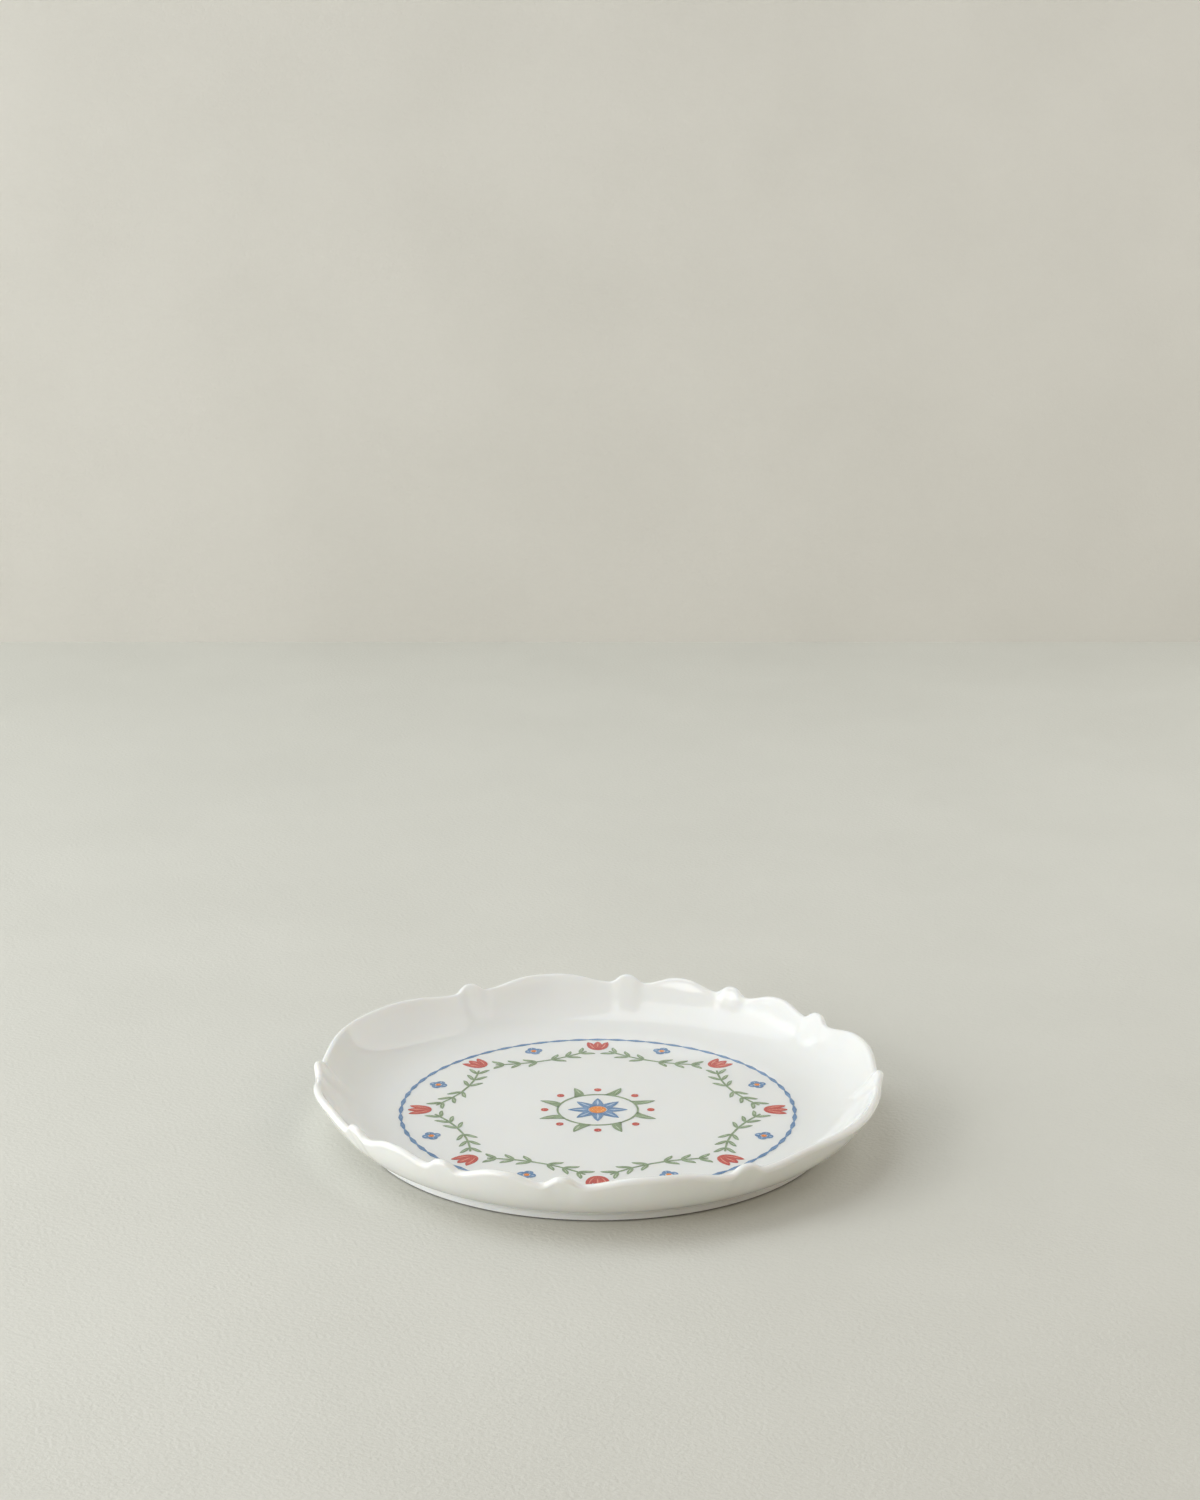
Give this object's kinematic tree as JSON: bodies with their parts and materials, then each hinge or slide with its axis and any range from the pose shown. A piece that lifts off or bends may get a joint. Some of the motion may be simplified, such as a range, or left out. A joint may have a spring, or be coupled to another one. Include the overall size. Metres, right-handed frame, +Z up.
{
  "type": "cake plate",
  "caption": "Shallow white porcelain cake plate with a scalloped, beaded rim, a turned foot ring and a folk flower print on its well.",
  "frame": {"origin": "centre of the foot ring, on the surface that the plate stands on", "axes": "+Z up along the plate's axis; +X through the middle of the two long scallops of the rim"},
  "size_m": [0.2036, 0.1964, 0.0221],
  "materials": {
    "porcelain": "clear gloss glaze over white porcelain",
    "blue_enamel": "printed on-glaze enamel, satin gloss",
    "red_enamel": "printed on-glaze enamel, satin gloss",
    "green_enamel": "printed on-glaze enamel, satin gloss",
    "orange_enamel": "printed on-glaze enamel, satin gloss"
  },
  "bodies": {
    "root": {"dish": "porcelain", "edge_line": "blue_enamel", "border_bud_1": "red_enamel", "border_swag_1": "green_enamel", "border_floret_1": "blue_enamel", "border_eye_1": "orange_enamel", "border_bud_2": "red_enamel", "border_swag_2": "green_enamel", "border_floret_2": "blue_enamel", "border_eye_2": "orange_enamel", "border_bud_3": "red_enamel", "border_swag_3": "green_enamel", "border_floret_3": "blue_enamel", "border_eye_3": "orange_enamel", "border_bud_4": "red_enamel", "border_swag_4": "green_enamel", "border_floret_4": "blue_enamel", "border_eye_4": "orange_enamel", "border_bud_5": "red_enamel", "border_swag_5": "green_enamel", "border_floret_5": "blue_enamel", "border_eye_5": "orange_enamel", "border_bud_6": "red_enamel", "border_swag_6": "green_enamel", "border_floret_6": "blue_enamel", "border_eye_6": "orange_enamel", "border_bud_7": "red_enamel", "border_swag_7": "green_enamel", "border_floret_7": "blue_enamel", "border_eye_7": "orange_enamel", "border_bud_8": "red_enamel", "border_swag_8": "green_enamel", "border_floret_8": "blue_enamel", "border_eye_8": "orange_enamel", "centre_rosette": "blue_enamel", "centre_disc": "orange_enamel", "centre_wreath": "green_enamel", "centre_berry_1": "red_enamel", "centre_berry_2": "red_enamel", "centre_berry_3": "red_enamel", "centre_berry_4": "red_enamel", "centre_berry_5": "red_enamel", "centre_berry_6": "red_enamel", "centre_berry_7": "red_enamel", "centre_berry_8": "red_enamel"}
  },
  "joints": []
}
